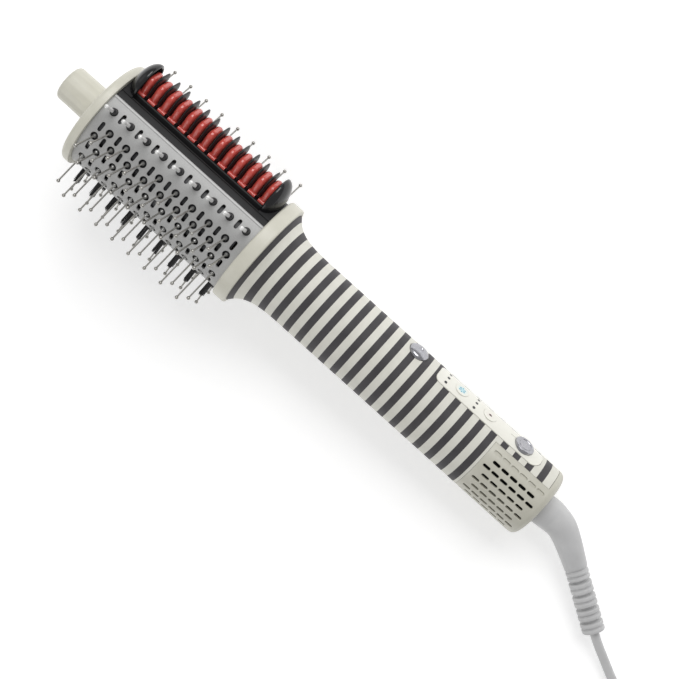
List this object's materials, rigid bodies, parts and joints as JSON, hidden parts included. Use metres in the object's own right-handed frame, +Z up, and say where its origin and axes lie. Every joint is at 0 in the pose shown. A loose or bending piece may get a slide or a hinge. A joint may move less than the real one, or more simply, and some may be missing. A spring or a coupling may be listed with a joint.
{
  "type": "hot air brush",
  "caption": "Hot air styling brush with a perforated round barrel, ball-tipped bristles, a heated comb strip and a striped tubular handle with a mains lead.",
  "frame": {"origin": "middle of the brush on the table it lies on: the centre of its bounding box, without the free lead, at the lowest point", "axes": "+X along the brush from the cool tip to the lead, +Z up from the table, +Y towards the side that the comb and the controls face"},
  "size_m": [0.6439, 0.1097, 0.1062],
  "materials": {
    "cream_plastic": "satin",
    "striped_shell": "soft-touch, printed dark bands",
    "silver_sleeve": "satin",
    "black_nylon": "matte",
    "pin_metal": "gloss",
    "tuft_nylon": "satin",
    "red_coating": "gloss",
    "guard_black": "gloss",
    "heater_alloy": "matte",
    "mica": "matte",
    "screw_steel": "satin",
    "screen_metal": "matte",
    "panel_plastic": "satin",
    "lens_dark": "gloss",
    "button_metal": "satin chrome",
    "board_green": "satin",
    "duct_plastic": "matte",
    "rubber_black": "matte",
    "motor_can": "satin",
    "fan_plastic": "satin",
    "relief_grey": "satin",
    "lead_grey": "satin",
    "blade_brass": "satin"
  },
  "bodies": {
    "housing": {"cool_tip": "cream_plastic", "tip_screw": "screw_steel", "end_cap": "cream_plastic", "barrel_sleeve": "silver_sleeve", "bristle_core": "black_nylon", "side_pins": "pin_metal", "bottom_pins": "pin_metal", "nylon_tufts": "tuft_nylon", "comb_tray": "black_nylon", "comb_heater": "red_coating", "front_guard": "guard_black", "rear_guard": "guard_black", "ptc_block": "heater_alloy", "heater_frame": "mica", "thermal_cutout": "screw_steel", "rear_collar": "cream_plastic", "handle_sleeve": "striped_shell", "intake_grille": "cream_plastic", "filter_screen": "screen_metal", "control_panel": "panel_plastic", "indicator_lenses": "lens_dark", "tact_switches": "black_nylon", "control_board": "board_green", "board_screws": "screw_steel", "fan_housing": "duct_plastic", "motor_mount": "rubber_black", "motor": "motor_can", "cord_clamp": "duct_plastic", "clamp_screws": "screw_steel", "strain_relief": "relief_grey", "cord_lead": "lead_grey", "cord_coil": "lead_grey", "coil_tie": "rubber_black", "cord_tail": "lead_grey", "plug_body": "relief_grey", "plug_blades": "blade_brass"},
    "fan": {"impeller": "fan_plastic", "fan_shaft": "screw_steel"},
    "dome_button": {"dome_button": "button_metal"},
    "power_button": {"power_button": "button_metal"},
    "mode_button": {"mode_button": "panel_plastic"},
    "speed_button": {"speed_button": "panel_plastic"}
  },
  "joints": [
    {"name": "fan_spin", "type": "hinge", "parent": "housing", "child": "fan", "pos_m": [0.03887, 0.0018, 0.03766], "axis": [0.993, 0, -0.1184], "continuous": true},
    {"name": "dome_press", "type": "slide", "parent": "housing", "child": "dome_button", "axis": [-0.0405, -0.9397, -0.3396], "range_m": [0, 0.0015], "stiffness_N_per_m": 800},
    {"name": "power_press", "type": "slide", "parent": "housing", "child": "power_button", "axis": [-0.0405, -0.9397, -0.3396], "range_m": [0, 0.0009], "stiffness_N_per_m": 1200},
    {"name": "mode_press", "type": "slide", "parent": "housing", "child": "mode_button", "axis": [-0.0405, -0.9397, -0.3396], "range_m": [0, 0.0005], "stiffness_N_per_m": 1200},
    {"name": "speed_press", "type": "slide", "parent": "housing", "child": "speed_button", "axis": [-0.0405, -0.9397, -0.3396], "range_m": [0, 0.0005], "stiffness_N_per_m": 1200}
  ]
}
